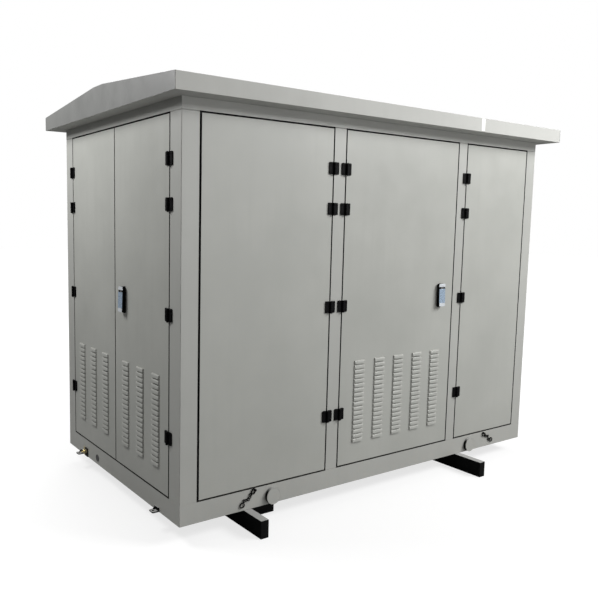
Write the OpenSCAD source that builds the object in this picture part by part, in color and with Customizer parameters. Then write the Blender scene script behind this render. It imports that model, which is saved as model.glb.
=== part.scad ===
// Walk-up pad-mounted transformer enclosure: a steel box on two skids with a low gabled roof,
// seven hinged doors, four lifting trunnions and the equipment inside.
// Millimetres. Origin on the ground under the middle of the roof, +X along the long front,
// the front at -Y, +Z up.

/* [Body] */
// Length of the box along the front
body_l = 3160; // [3000:10:3400]
// Depth of the box from front to rear
body_w = 1740; // [1700:10:2000]
// Height of the underside of the box above the ground
base_z = 110; // [90:1:140]
// Height of the base rails
rail_h = 126; // [110:1:140]
// Height of the underside of the header band
header_z = 2410; // [2300:10:2600]
// Height of the header band
header_h = 68; // [50:1:90]
// Wall of the posts, rails and header
frame_t = 5; // [3:1:8]

/* [Roof] */
// Overhang past the two ends
roof_over_x = 110; // [80:1:150]
// Overhang past the front and the rear
roof_over_y = 130; // [80:1:160]
// Height of the fascia
fascia_h = 93; // [60:1:120]
// Rise from the fascia's top to the ridge
roof_rise = 77; // [40:1:120]
// Width of the flat along the ridge
ridge_w = 140; // [40:1:200]
// Roof sheet
roof_t = 3; // [2:1:5]

/* [Doors] */
// Depth of a door's folded edge
door_d = 40; // [30:1:50]
// Door sheet
sheet = 2; // [1.5:0.5:3]
// Gap between a door and its frame
gap = 6; // [4:1:8]
// Wider gap at the free edge of the left front door
wide_gap = 10; // [6:1:14]
// Distance of the lock from the door's free edge
lock_inset = 143; // [120:1:180]
// Louvre width
louvre_w = 94; // [60:1:100]
// Louvre pitch
louvre_pitch = 31; // [26:1:36]
// Louvres in one column
louvre_rows = 18; // [10:1:18]
// Height of the lowest louvre above the ground
louvre_z = 385; // [360:5:420]

/* [Hinges] */
// Hinge height
hinge_h = 75; // [60:1:90]
// Width over both leaves
hinge_w = 78; // [70:1:90]
// Distance of the hinge axis in front of the door face
axis_out = 12; // [11:1:16]

/* [Skids] */
// Width of a skid channel
skid_w = 55; // [50:1:80]
// Half length of the left skid
skid_half_left = 1047; // [1020:1:1100]
// Half length of the right skid
skid_half_right = 1095; // [1060:1:1150]

/* [Lifting trunnions] */
// Distance of a trunnion from the middle
trunnion_x = 935; // [850:5:950]
// Radius of the end disc
trunnion_disc_r = 52; // [46:1:60]
// Radius of the shaft
trunnion_shaft_r = 28; // [24:1:32]

/* [Hidden] */
$fn = 48;

half_l = body_l / 2;
half_w = body_w / 2;
rail_top = base_z + rail_h;
roof_z = header_z + header_h;
ridge_z = roof_z + fascia_h + roof_rise;
floor_t = 4;
floor_z = rail_top - frame_t;

// Door rows: [x of the hinge gap, y of the hinge gap, turn, mirrored, width, free gap]
door_low = rail_top + gap;
door_high = header_z - gap;
door_h = door_high - door_low;
gap_a_free = -1462;
gap_a_hinge = -509.5;
gap_b_hinge = -407;
gap_b_free = 666;
gap_c_hinge = 761;
gap_c_free = 1471;
end_hinge_y = 740;
door_left = [gap_a_hinge, -half_w, 0, true, gap_a_hinge - gap_a_free, wide_gap];
door_middle = [gap_b_hinge, -half_w, 0, false, gap_b_free - gap_b_hinge, gap];
door_right = [gap_c_hinge, -half_w, 0, false, gap_c_free - gap_c_hinge, gap];
end_left_near = [-half_l, -end_hinge_y, -90, true, end_hinge_y, gap];
end_left_far = [-half_l, end_hinge_y, -90, false, end_hinge_y, gap];
end_right_near = [half_l, -end_hinge_y, 90, false, end_hinge_y, gap];
end_right_far = [half_l, end_hinge_y, 90, true, end_hinge_y, gap];
doors = [door_left, door_middle, door_right, end_left_near, end_left_far, end_right_near,
    end_right_far];
middle_louvres = [171, 354, 535, 720, 906];
end_louvres = [162, 370, 578];
hinge_zs = [595, 1301, 1914, 2162];

// Hinge
leaf_t = 8;
leaf_gap = 10.5;
knuckle_r = 9;
pin_r = 4;
knuckle_gap = 0.6;
third = hinge_h / 3;

// Lock
lock_z = 1328;
lock_w = 44;
lock_h = 168;
plate_t = 8;
spindle_z = lock_z + 52;
spindle_r = 9;
flip_y = -18;
crank_r = 14.1;
crank_x = crank_r * cos(45);
rod_w = 20;
rod_t = 5;
rod_y = 13.5;
rod_x = 12;
rod_tip = 3;

module place(d) {
    translate([d[0], d[1], 0]) rotate([0, 0, d[2]]) mirror([d[3] ? 1 : 0, 0, 0]) children();
}

module all_doors() {
    for (d = doors) place(d) children();
}

module box(x0, y0, z0, x1, y1, z1) {
    translate([x0, y0, z0]) cube([x1 - x0, y1 - y0, z1 - z0]);
}

// A rectangular tube along Z
module tube_z(x0, y0, x1, y1, z0, z1, t) {
    difference() {
        box(x0, y0, z0, x1, y1, z1);
        box(x0 + t, y0 + t, z0 - 1, x1 - t, y1 - t, z1 + 1);
    }
}

// ---- skids and base -------------------------------------------------------------------------

skid_left_x = -1112.5;
skid_right_x = 817.5;
skid_t = 8;
anchor_y = 1000;
anchor_r = 11;

// Channel open towards +x, closed by a plate at each end
module skid(x, half_len) {
    difference() {
        box(x - skid_w / 2, -half_len, 0, x + skid_w / 2, half_len, base_z);
        box(x - skid_w / 2 + skid_t, -half_len + skid_t, skid_t, x + skid_w, half_len - skid_t,
            base_z - skid_t);
        for (s = [-1, 1]) translate([x + skid_t / 2, s * anchor_y, -1])
            cylinder(r = anchor_r, h = skid_t + 2);
    }
}

module skids() {
    color("#1c1c1e") {
        skid(skid_left_x, skid_half_left);
        skid(skid_right_x, skid_half_right);
    }
}

module packing_block() {
    color("#1c1c1e") box(-1084, -770, 0, -840, -670, base_z);
}

// C-section rail along X, web on the outside at y = 0, open towards +y
module rail(len) {
    flange = 65;
    difference() {
        box(-len / 2, 0, base_z, len / 2, flange, rail_top);
        box(-len / 2 - 1, frame_t, base_z + frame_t, len / 2 + 1, flange + 1, rail_top - frame_t);
    }
}

trunnion_z = 165;
sleeve_bore_r = trunnion_shaft_r + 0.6;
sleeve_r = 38;
sleeve_l = 160;

module base_rails() {
    color("#a4a69f") {
        for (turn = [0, 180]) rotate([0, 0, turn]) difference() {
            translate([0, -half_w, 0]) rail(body_l);
            for (s = [-1, 1]) translate([s * trunnion_x, -half_w - 1, trunnion_z])
                rotate([-90, 0, 0]) cylinder(r = sleeve_bore_r, h = frame_t + 2);
        }
        for (turn = [-90, 90]) rotate([0, 0, turn]) translate([0, -half_l, 0]) rail(body_w);
    }
}

module cross_members() {
    cross_w = 60;
    cross_len = body_w - 2 * frame_t;
    color("#55575a") for (x = [skid_left_x, -457, -200, 130, 460, 714, skid_right_x + 10])
        difference() {
            box(x - cross_w / 2, -cross_len / 2 + 60, base_z + frame_t, x + cross_w / 2,
                cross_len / 2 - 60, floor_z - floor_t);
            box(x - cross_w / 2 + frame_t, -cross_len, base_z + 2 * frame_t, x + cross_w,
                cross_len, floor_z - floor_t - frame_t);
        }
}

module at_trunnions() {
    for (turn = [0, 180]) rotate([0, 0, turn]) for (s = [-1, 1]) translate([s * trunnion_x, -half_w, 0])
        children();
}

module trunnion_sleeves() {
    color("#55575a") at_trunnions() translate([0, frame_t, trunnion_z]) rotate([-90, 0, 0])
        difference() {
            cylinder(r = sleeve_r, h = sleeve_l);
            translate([0, 0, -1]) cylinder(r = sleeve_bore_r, h = sleeve_l + 2);
        }
}

module trunnion(x, turn) {
    disc_t = 12;
    disc_out = 25;
    color("#a4a69f") rotate([0, 0, turn]) translate([x, -half_w, trunnion_z]) rotate([-90, 0, 0]) {
        translate([0, 0, -disc_out]) cylinder(r = trunnion_disc_r, h = disc_t);
        translate([0, 0, -disc_out + disc_t]) cylinder(r = trunnion_shaft_r, h = 175);
    }
}

module trunnion_front_left() { trunnion(-trunnion_x, 0); }
module trunnion_front_right() { trunnion(trunnion_x, 0); }
module trunnion_rear_left() { trunnion(trunnion_x, 180); }
module trunnion_rear_right() { trunnion(-trunnion_x, 180); }

cable_l = 390;
cable_w = 260;

module cable_entry(x) {
    box(x - cable_l / 2, 0, base_z, x + cable_l / 2, cable_w, floor_z + 10);
}

// Five panels laid round the two cable entries, a joint of 1 mm between them
module floor_plate() {
    end_x = half_l - 66;
    end_y = half_w - 66;
    joint = 1;
    left = gear_x + 105;
    right = board_x + 15;
    half_entry = cable_l / 2;
    color("#8f918c") for (p = [
        [-end_x, -end_y, end_x, -joint],
        [-end_x, cable_w + joint, end_x, end_y],
        [-end_x, 0, left - half_entry, cable_w],
        [left + half_entry, 0, right - half_entry, cable_w],
        [right + half_entry, 0, end_x, cable_w]])
        box(p[0], p[1], floor_z - floor_t, p[2], p[3], floor_z);
}

module tie_down_lugs() {
    lug_w = 50;
    lug_t = 8;
    lug_low = 112;
    lug_high = 140;
    lug_out = 44;
    hole_out = 28;
    hole_r = 7;
    color("#1c1c1e") for (turn = [-90, 90]) rotate([0, 0, turn]) for (y = [-600, 600])
        translate([y, -half_l, 0]) difference() {
            union() {
                box(-lug_w / 2, -lug_t, lug_low, lug_w / 2, 0, lug_high);
                box(-lug_w / 2, -lug_out, lug_low, lug_w / 2, -lug_t, lug_low + lug_t);
            }
            translate([0, -hole_out, lug_low - 1]) cylinder(r = hole_r, h = lug_t + 2);
        }
}

// A fitting on each end rail, turned so that local -y points out of the enclosure
module on_end_rails(y, z) {
    for (turn = [-90, 90]) rotate([0, 0, turn]) translate([-y, -half_l, z]) rotate([90, 0, 0]) children();
}

stud_y = 520;
stud_z = 150;
stud_pad_t = 6;

// Washer, inner nut, upright terminal plate, outer nut and threaded stem
module earth_studs() {
    washer_t = 3;
    nut_t = 8;
    plate_w = 18;
    plate_h = 62;
    plate_t = 4;
    plate_out = stud_pad_t + washer_t + nut_t;
    stem = 14;
    color("#c9a24a") on_end_rails(stud_y, stud_z) {
        translate([0, 0, stud_pad_t]) cylinder(r = 15, h = washer_t);
        translate([0, 0, stud_pad_t + washer_t]) cylinder(r = 11, h = nut_t, $fn = 6);
        translate([-plate_w / 2, -22, plate_out]) cube([plate_w, plate_h, plate_t]);
        translate([0, 0, plate_out + plate_t]) cylinder(r = 11, h = nut_t, $fn = 6);
        translate([0, 0, plate_out + plate_t + nut_t]) cylinder(r = 6, h = stem);
    }
}

// Square pad under each earth stud, and the round cap over the spare cable hole beside it
module end_pads() {
    pad_w = 56;
    pad_h = 62;
    cap_r = 25;
    cap_t = 3;
    color("#3a3a3c") {
        on_end_rails(stud_y, stud_z) translate([-pad_w / 2, -38, 0]) cube([pad_w, pad_h, stud_pad_t]);
        on_end_rails(318, 158) cylinder(r1 = cap_r, r2 = cap_r - 1, h = cap_t);
    }
}

// Round-link chain: each link turned a quarter about the run
chain_r = 4.6;
chain_wire = 1.3;
chain_links = 22;
chain_out = 8;
chain_run = [-113, -82];

module ring(r, wire) {
    rotate_extrude($fn = 24) translate([r, 0]) circle(r = wire, $fn = 16);
}

module chain(x, z, side) {
    slope = atan2(chain_run[1], side * chain_run[0]);
    for (i = [0 : chain_links])
        translate([x + side * chain_run[0] * i / chain_links, -half_w - chain_out,
                   z + chain_run[1] * i / chain_links])
            rotate([0, -slope, 0]) rotate([90 + i % 2 * 90, 0, 0]) ring(chain_r, chain_wire);
    for (e = [0, 1]) translate([x + side * chain_run[0] * e, -half_w, z + chain_run[1] * e])
        rotate([90, 0, 0])
        cylinder(r = 3, h = chain_out - chain_r - 2 * chain_wire + 3);
}

module lifting_chains() {
    color("#1c1c1e") {
        chain(-1063, 222, 1);
        chain(1111, 222, -1);
    }
}

// ---- walls -----------------------------------------------------------------------------------

post_left_w = half_l + gap_a_free - wide_gap / 2;
post_right_w = half_l - gap_c_free - gap / 2;
post_side = half_w - end_hinge_y - gap / 2;

module corner_posts() {
    color("#b9bab4") for (sx = [-1, 1]) for (sy = [-1, 1]) {
        w = sx < 0 ? post_left_w : post_right_w;
        x0 = sx < 0 ? -half_l : half_l - w;
        y0 = sy < 0 ? -half_w : half_w - post_side;
        tube_z(x0, y0, x0 + w, y0 + post_side, rail_top, header_z, frame_t);
    }
}

mullion_d = 70;

module mullions() {
    color("#b9bab4") for (sy = [-1, 1]) {
        y0 = sy < 0 ? -half_w : half_w - mullion_d;
        tube_z(gap_a_hinge + gap / 2, y0, gap_b_hinge - gap / 2, y0 + mullion_d, rail_top,
            header_z, frame_t);
        tube_z(gap_b_free + gap / 2, y0, gap_c_hinge - gap / 2, y0 + mullion_d, rail_top,
            header_z, frame_t);
    }
}

module header_band() {
    band_d = 70;
    color("#b9bab4") difference() {
        box(-half_l, -half_w, header_z, half_l, half_w, roof_z);
        box(-half_l + band_d, -half_w + band_d, header_z - 1, half_l - band_d, half_w - band_d,
            roof_z + 1);
        difference() {
            box(-half_l + frame_t, -half_w + frame_t, header_z + frame_t, half_l - frame_t,
                half_w - frame_t, roof_z - frame_t);
            box(-half_l + band_d - frame_t, -half_w + band_d - frame_t, header_z,
                half_l - band_d + frame_t,
                half_w - band_d + frame_t, roof_z);
        }
    }
}

roof_half_x = half_l + roof_over_x;
roof_half_y = half_w + roof_over_y;

module roof_outline(t) {
    fascia_top = roof_z + fascia_h;
    polygon([[-roof_half_y + t, roof_z + t], [roof_half_y - t, roof_z + t],
        [roof_half_y - t, fascia_top - t],
        [ridge_w / 2, ridge_z - t], [-ridge_w / 2, ridge_z - t], [-roof_half_y + t, fascia_top - t]]);
}

module roof_shell() {
    inset = 100;
    color("#cfd0cb") difference() {
        rotate([90, 0, 90]) translate([0, 0, -roof_half_x]) linear_extrude(2 * roof_half_x)
            roof_outline(0);
        rotate([90, 0, 90]) translate([0, 0, -roof_half_x + roof_t])
            linear_extrude(2 * (roof_half_x - roof_t))
            roof_outline(roof_t);
        box(-half_l + inset, -half_w + inset, roof_z - 1, half_l - inset, half_w - inset, roof_z + 20);
    }
}

module roof_joint_strip() {
    strip_x = 748;
    strip_w = 38;
    color("#e4e5e1") translate([strip_x - strip_w / 2, -roof_half_y, roof_z + 6]) mirror([0, 1, 0])
        cube([strip_w, 1.5, fascia_h - 10]);
}

module seal_ring(x0, x1) {
    seal_w = 16;
    seal_y = door_d + 0.5;
    difference() {
        box(x0, seal_y, rail_top, x1, seal_y + 8, header_z);
        box(x0 + seal_w + gap, seal_y - 1, door_low + seal_w,
            x1 - seal_w - gap, seal_y + 9, door_high - seal_w);
    }
}

// Seal strips stand on the frame behind each opening; the pair of end doors shares one ring
module door_seals() {
    color("#2b2b2d") {
        for (d = [door_middle, door_right]) place(d) seal_ring(gap / 2, d[4] - gap / 2);
        place(door_left) seal_ring(gap / 2, door_left[4] - wide_gap / 2);
        for (d = [end_left_far, end_right_near]) place(d) seal_ring(gap / 2, 2 * end_hinge_y - gap / 2);
    }
}

module partitions() {
    hole_z = 1500;
    color("#a4a69f") for (x = [(gap_a_hinge + gap_b_hinge) / 2, (gap_b_free + gap_c_hinge) / 2])
        difference() {
            union() {
                box(x - 1, -half_w + mullion_d, floor_z, x + 1, half_w - mullion_d, header_z);
                for (sy = [-1, 1]) translate([x, sy * (half_w - mullion_d - 1), floor_z])
                    translate([-15, -1, 0]) cube([30, 2, header_z - floor_z]);
            }
            box(x - 50, -190, hole_z, x + 50, 260, hole_z + 320);
        }
}

// ---- doors -----------------------------------------------------------------------------------

// Cut for one column of louvres: a comb whose teeth pass through the sheet into each hood
module louvre_cut() {
    comb_y = 5;
    linear_extrude(louvre_w - 2 * sheet) polygon(concat(
        [for (i = [0 : louvre_rows - 1]) for (p = [[comb_y, -1], [-9, -1], [-9, 2.5], [comb_y, 26.5]])
            [p[0], i * louvre_pitch + p[1]]],
        [[comb_y + 1.5, (louvre_rows - 1) * louvre_pitch + 26.5], [comb_y + 1.5, -1]]));
}

// Hoods of one column, a saw-tooth that starts inside the sheet
module louvre_hoods() {
    root_y = 0.5;
    linear_extrude(louvre_w) polygon(concat(
        [for (i = [0 : louvre_rows - 1]) for (p = [[root_y, 0], [-11, 0], [-11, 3], [root_y, 23]])
            [p[0], i * louvre_pitch + p[1]]],
        [[1.5, (louvre_rows - 1) * louvre_pitch + 23], [1.5, 0]]));
}

// The profile's x runs along the door's depth and its y up; the extrusion runs along the width
module at_louvre(x, w) {
    translate([x - w / 2, 0, louvre_z])
        multmatrix([[0, 0, 1, 0], [1, 0, 0, 0], [0, 1, 0, 0], [0, 0, 0, 1]])
        children();
}

module stiffener(x0, x1, z) {
    difference() {
        box(x0, sheet, z, x1, 24, z + 60);
        box(x0 - 1, sheet - 1, z + 2, x1 + 1, 22, z + 58);
    }
}

module leaf(w, free_gap, columns, has_lock) {
    x0 = gap / 2;
    x1 = w - free_gap / 2;
    lip = 18;
    lock_x = w - lock_inset;
    rib_end = has_lock ? lock_x - 60 : x1 - 25;
    difference() {
        union() {
            difference() {
                box(x0, 0, door_low, x1, door_d, door_high);
                box(x0 + sheet, sheet, door_low + sheet, x1 - sheet, door_d - sheet, door_high - sheet);
                box(x0 + lip, door_d - 3, door_low + lip, x1 - lip, door_d + 1, door_high - lip);
            }
            for (x = columns) at_louvre(x, louvre_w) louvre_hoods();
            for (z = [1080, 1720]) stiffener(x0 + 25, rib_end, z);
        }
        for (x = columns) at_louvre(x, louvre_w - 2 * sheet) louvre_cut();
        if (has_lock) {
            translate([lock_x, -1, spindle_z]) rotate([-90, 0, 0]) cylinder(r = spindle_r + 3, h = 5);
            for (s = [-1, 1]) {
                hole_z = s < 0 ? door_low - 1 : door_high - 5;
                translate([lock_x + s * rod_x - rod_w / 2 - 1, rod_y - 1, hole_z])
                    cube([rod_w + 2, rod_t + 2, 6]);
            }
        }
    }
}

module front_door_left() {
    color("#a5a6a0") place(door_left) leaf(door_left[4], wide_gap, [], false);
}
module front_door_middle() {
    color("#a5a6a0") place(door_middle) leaf(door_middle[4], gap, middle_louvres, true);
}
module front_door_right() {
    color("#a5a6a0") place(door_right) leaf(door_right[4], gap, [], false);
}
module left_end_door_near() {
    color("#8c8d88") place(end_left_near) leaf(end_hinge_y, gap, end_louvres, true);
}
module left_end_door_far() {
    color("#8c8d88") place(end_left_far) leaf(end_hinge_y, gap, end_louvres, false);
}
module right_end_door_near() {
    color("#8c8d88") place(end_right_near) leaf(end_hinge_y, gap, end_louvres, true);
}
module right_end_door_far() {
    color("#8c8d88") place(end_right_far) leaf(end_hinge_y, gap, end_louvres, false);
}

// Fixed panels fill the rear bays with the front doors' outlines
module rear_panels() {
    color("#8c8d88") mirror([0, 1, 0]) {
        place(door_left) leaf(door_left[4], wide_gap, [], false);
        place(door_middle) leaf(door_middle[4], gap, middle_louvres, false);
        place(door_right) leaf(door_right[4], gap, [], false);
    }
}

// ---- hinges ----------------------------------------------------------------------------------

// One leaf beside the axis; s is the side it lies on, zs the thirds whose knuckles it carries
module hinge_leaf(s, thirds) {
    outer = hinge_w / 2;
    translate([s > 0 ? leaf_gap : -outer, -leaf_t, 0]) cube([outer - leaf_gap, leaf_t, hinge_h]);
    for (k = thirds) translate([0, 0, k * third + knuckle_gap / 2]) difference() {
        union() {
            translate([0, -axis_out, 0]) cylinder(r = knuckle_r, h = third - knuckle_gap);
            translate([s > 0 ? 6 : -leaf_gap - 1, -leaf_t - 1, 0])
                cube([leaf_gap - 5, 5, third - knuckle_gap]);
        }
        translate([0, -axis_out, -1]) cylinder(r = pin_r + 0.1, h = third + 2);
    }
}

module at_hinges() {
    for (z = hinge_zs) translate([0, 0, z - hinge_h / 2]) children();
}

module door_hinges(d) {
    color("#1c1c1e") place(d) at_hinges() hinge_leaf(1, [1]);
}

module frame_hinge_leaves() {
    color("#1c1c1e") all_doors() at_hinges() hinge_leaf(-1, [0, 2]);
}

module hinge_pins() {
    head = 3;
    color("#3a3a3c") all_doors() at_hinges() translate([0, -axis_out, 0]) {
        translate([0, 0, -head]) cylinder(r = pin_r + 2, h = head);
        cylinder(r = pin_r, h = hinge_h);
    }
}

module hinges_front_left() { door_hinges(door_left); }
module hinges_front_middle() { door_hinges(door_middle); }
module hinges_front_right() { door_hinges(door_right); }
module hinges_left_end_near() { door_hinges(end_left_near); }
module hinges_left_end_far() { door_hinges(end_left_far); }
module hinges_right_end_near() { door_hinges(end_right_near); }
module hinges_right_end_far() { door_hinges(end_right_far); }

// ---- locks -----------------------------------------------------------------------------------

module at_lock(d) {
    place(d) translate([d[4] - lock_inset, 0, 0]) children();
}

// Outer plate and the two rod guides inside the door
module lock_plate(d) {
    guide_w = 64;
    color("#d9dde2") at_lock(d) {
        difference() {
            box(-lock_w / 2, -plate_t, lock_z - lock_h / 2, lock_w / 2, 0, lock_z + lock_h / 2);
            translate([0, -plate_t - 1, spindle_z]) rotate([-90, 0, 0])
                cylinder(r = spindle_r + 0.6, h = plate_t + 2);
        }
        for (z = [1000, 1700]) difference() {
            box(-guide_w / 2, sheet, z, guide_w / 2, rod_y + rod_t + 4, z + 24);
            for (s = [-1, 1]) box(s * rod_x - rod_w / 2 - 0.7, rod_y - 0.7, z - 1,
                s * rod_x + rod_w / 2 + 0.7,
                rod_y + rod_t + 0.7, z + 25);
        }
    }
}

// Spindle with its crank disc behind the sheet, two crank pins and a head that carries the lever
module lock_spindle(d) {
    disc_y = 6;
    disc_t = 4;
    color("#c3c7cc") at_lock(d) translate([0, 0, spindle_z]) {
        rotate([90, 0, 0]) translate([0, 0, -disc_y - disc_t])
            cylinder(r = spindle_r, h = disc_y + disc_t + 12);
        rotate([90, 0, 0]) translate([0, 0, -disc_y - disc_t]) cylinder(r = 21, h = disc_t);
        for (s = [-1, 1]) translate([s * crank_x, disc_y + disc_t, s * crank_x]) rotate([-90, 0, 0])
            cylinder(r = 3, h = 10);
        box(-9, -25, -6.5, 9, -9, 6.5);
        translate([-18, flip_y, 0]) rotate([0, 90, 0]) cylinder(r = 3, h = 36);
    }
}

// Swing lever: two ears on the spindle head's cross pin and a grip that hangs below it
module lock_lever(d) {
    grip_w = 66;
    ear_r = 8;
    drop = 128;
    color("#cfe0ee") at_lock(d) translate([0, flip_y, spindle_z]) difference() {
        union() {
            translate([-grip_w / 2, 0, 0]) rotate([0, 90, 0]) cylinder(r = ear_r, h = grip_w);
            box(-grip_w / 2, -ear_r, -drop, grip_w / 2, ear_r - 1, 0);
        }
        box(-10.5, -ear_r - 1, -22, 10.5, ear_r + 1, ear_r + 1);
        translate([-18.5, 0, 0]) rotate([0, 90, 0]) cylinder(r = 3.1, h = 37);
    }
}

// Flat rod with a cross slot at its foot; s is +1 for the rod that runs up
module lock_rod(d, s) {
    foot = 9;
    slot_half = 3.9;
    tip = s > 0 ? door_high + rod_tip : door_low - rod_tip;
    heel = spindle_z + s * (crank_x - foot);
    color("#b8bcc0") at_lock(d) difference() {
        box(s * rod_x - rod_w / 2, rod_y, min(heel, tip), s * rod_x + rod_w / 2, rod_y + rod_t,
            max(heel, tip));
        box(s * (crank_r + crank_x) / 2 - 6.5, rod_y - 1, spindle_z + s * crank_x - slot_half,
            s * (crank_r + crank_x) / 2 + 6.5, rod_y + rod_t + 1, spindle_z + s * crank_x + slot_half);
    }
}

module lock_plate_front() { lock_plate(door_middle); }
module lock_spindle_front() { lock_spindle(door_middle); }
module lock_lever_front() { lock_lever(door_middle); }
module top_rod_front() { lock_rod(door_middle, 1); }
module bottom_rod_front() { lock_rod(door_middle, -1); }
module lock_plate_left() { lock_plate(end_left_near); }
module lock_spindle_left() { lock_spindle(end_left_near); }
module lock_lever_left() { lock_lever(end_left_near); }
module top_rod_left() { lock_rod(end_left_near, 1); }
module bottom_rod_left() { lock_rod(end_left_near, -1); }
module lock_plate_right() { lock_plate(end_right_near); }
module lock_spindle_right() { lock_spindle(end_right_near); }
module lock_lever_right() { lock_lever(end_right_near); }
module top_rod_right() { lock_rod(end_right_near, 1); }
module bottom_rod_right() { lock_rod(end_right_near, -1); }

// ---- equipment inside ------------------------------------------------------------------------

tank_x = 130;
tank_l = 820;
tank_w = 560;
tank_z = floor_z + 60;
tank_h = 940;
lid_t = 10;
lid_z = tank_z + tank_h;
hv_y = 110;
lv_y = -120;
hv_pitch = 220;
lv_pitch = 150;

module transformer_tank() {
    color("#6d7470") {
        difference() {
            box(tank_x - tank_l / 2, -tank_w / 2, tank_z, tank_x + tank_l / 2, tank_w / 2, lid_z);
            box(tank_x - tank_l / 2 + 6, -tank_w / 2 + 6, tank_z + 6, tank_x + tank_l / 2 - 6,
                tank_w / 2 - 6,
                lid_z - lid_t);
        }
        for (s = [-1, 1]) box(tank_x - 330, s * 220 - 30, floor_z, tank_x + 330, s * 220 + 30, tank_z);
    }
}

module tank_radiators() {
    fins = 12;
    fin_t = 12;
    fin_d = 150;
    fin_pitch = 60;
    color("#6d7470") for (s = [-1, 1])
        translate([tank_x, s * tank_w / 2, tank_z + 90]) mirror([0, s < 0 ? 1 : 0, 0])
        union() {
            box(-fins / 2 * fin_pitch, 0, 0, fins / 2 * fin_pitch, 12, 700);
            for (i = [0 : fins - 1]) box((i - fins / 2 + 0.5) * fin_pitch - fin_t / 2, 11, 0,
                (i - fins / 2 + 0.5) * fin_pitch + fin_t / 2, fin_d, 700);
        }
}

module bushing(h, r) {
    sheds = round(h / 36);
    step = h / sheds;
    rotate_extrude() polygon(concat([[0, 0], [r, 0]],
        [for (i = [0 : sheds - 1]) for (p = [[r, 0.2], [r * 1.55, 0.45], [r, 0.75]])
            [p[0], (i + p[1]) * step]],
        [[r, h], [r * 0.45, h], [r * 0.45, h + 34], [0, h + 34]]));
}

hv_bushing_h = 250;
lv_bushing_h = 110;

module tank_bushings() {
    color("#7b4b34") translate([tank_x, 0, lid_z]) {
        for (i = [-1 : 1]) translate([i * hv_pitch, hv_y, 0]) bushing(hv_bushing_h, 32);
        for (i = [-1.5 : 1.5]) translate([i * lv_pitch, lv_y, 0]) bushing(lv_bushing_h, 30);
    }
}

gear_x = -960;
gear_z = 1750;

// Hollow cabinet, open below over its cable entry
module cabinet(x0, y0, x1, y1, z1, entry_x) {
    wall = 4;
    difference() {
        box(x0, y0, floor_z, x1, y1, z1);
        box(x0 + wall, y0 + wall, floor_z + wall, x1 - wall, y1 - wall, z1 - wall);
        cable_entry(entry_x);
    }
}

module hv_switchgear() {
    color("#c8cac6") {
        cabinet(gear_x - 340, -60, gear_x + 340, 640, gear_z, gear_x + 105);
        for (i = [-1 : 1]) translate([gear_x + i * 210, -60, 1280]) rotate([90, 0, 0])
            cylinder(r = 34, h = 22);
    }
}

board_x = 1190;
board_y = -200;

module lv_switchboard() {
    color("#c8cac6") {
        cabinet(board_x - 300, board_y, board_x + 300, 560, 2080, board_x + 15);
        box(board_x - 160, board_y - 42, 1420, board_x + 160, board_y, 1720);
        for (i = [-1.5 : 1.5]) box(board_x + i * 120 - 42, board_y - 28, 1020,
            board_x + i * 120 + 42, board_y,
            1230);
    }
}

// Insulated conductors: up from each bushing, along to the switchgear wall
module hv_conductors() {
    wire_r = 13;
    top = lid_z + hv_bushing_h + 34;
    color("#8c3b2f") for (i = [-1 : 1]) {
        x = tank_x + i * hv_pitch;
        z = top + 30 + (i + 1) * 62;
        translate([x, hv_y, top]) cylinder(r = wire_r, h = z - top);
        translate([x, hv_y, z]) sphere(r = wire_r);
        translate([gear_x + 340, hv_y, z]) rotate([0, 90, 0]) cylinder(r = wire_r, h = x - gear_x - 340);
    }
}

// Flat bars: up from each bushing, along to the switchboard's side
module lv_busbars() {
    bar_w = 60;
    bar_t = 8;
    top = lid_z + lv_bushing_h + 34;
    color("#b87344") for (i = [-1.5 : 1.5]) {
        x = tank_x + i * lv_pitch;
        z = 1620 - (i + 1.5) * 34;
        y = lv_y + 2 * i * bar_t;
        box(x - bar_t / 2, y - bar_w / 2, top, x + bar_t / 2, y + bar_w / 2, z);
        box(x - bar_t / 2, y - bar_w / 2, z, board_x - 300, y + bar_w / 2, z + bar_t);
    }
}

skids();
packing_block();
base_rails();
cross_members();
trunnion_sleeves();
floor_plate();
corner_posts();
mullions();
header_band();
roof_shell();
roof_joint_strip();
rear_panels();
partitions();
door_seals();
frame_hinge_leaves();
hinge_pins();
lifting_chains();
tie_down_lugs();
earth_studs();
end_pads();
transformer_tank();
tank_radiators();
tank_bushings();
hv_switchgear();
lv_switchboard();
hv_conductors();
lv_busbars();
trunnion_front_left();
trunnion_front_right();
trunnion_rear_left();
trunnion_rear_right();
front_door_left();
front_door_middle();
front_door_right();
left_end_door_near();
left_end_door_far();
right_end_door_near();
right_end_door_far();
hinges_front_left();
hinges_front_middle();
hinges_front_right();
hinges_left_end_near();
hinges_left_end_far();
hinges_right_end_near();
hinges_right_end_far();
lock_plate_front();
lock_spindle_front();
lock_lever_front();
top_rod_front();
bottom_rod_front();
lock_plate_left();
lock_spindle_left();
lock_lever_left();
top_rod_left();
bottom_rod_left();
lock_plate_right();
lock_spindle_right();
lock_lever_right();
top_rod_right();
bottom_rod_right();
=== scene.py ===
import math

import bpy
from mathutils import Matrix, Vector


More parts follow.
